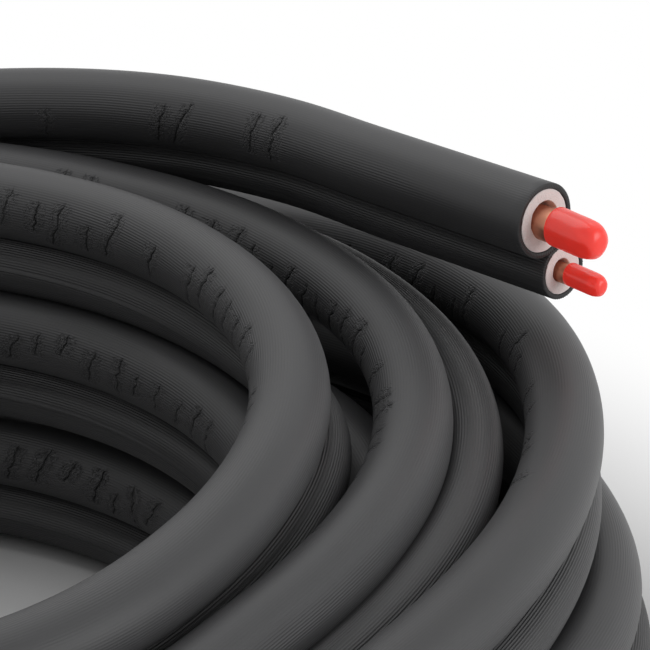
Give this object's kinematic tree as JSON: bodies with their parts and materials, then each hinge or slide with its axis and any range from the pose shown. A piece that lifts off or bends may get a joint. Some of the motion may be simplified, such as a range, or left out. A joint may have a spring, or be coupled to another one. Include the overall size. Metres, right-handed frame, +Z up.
{
  "type": "copper tube coil",
  "caption": "Coil of twin foam-insulated copper tube with black ribbed jackets, red end caps and one end lifted clear, ready for cutting and joining.",
  "frame": {"origin": "on the floor, on the coil's axis", "axes": "+Z up along the coil's axis; the free end lies at +X and runs towards -Y"},
  "size_m": [0.7997, 0.7998, 0.2313],
  "materials": {
    "black_skin": "matte, finely ribbed along its length",
    "white_foam": "fine closed-cell foam, cut square",
    "bare_copper": "dull drawn copper",
    "red_cap": "glossy soft plastic"
  },
  "bodies": {
    "root": {"twin_jacket": "black_skin", "free_end_large_sleeve": "white_foam", "free_end_large_tube": "bare_copper", "free_end_large_cap": "red_cap", "free_end_small_sleeve": "white_foam", "free_end_small_tube": "bare_copper", "free_end_small_cap": "red_cap", "tail_end_large_sleeve": "white_foam", "tail_end_large_tube": "bare_copper", "tail_end_large_cap": "red_cap", "tail_end_small_sleeve": "white_foam", "tail_end_small_tube": "bare_copper", "tail_end_small_cap": "red_cap"}
  },
  "joints": []
}
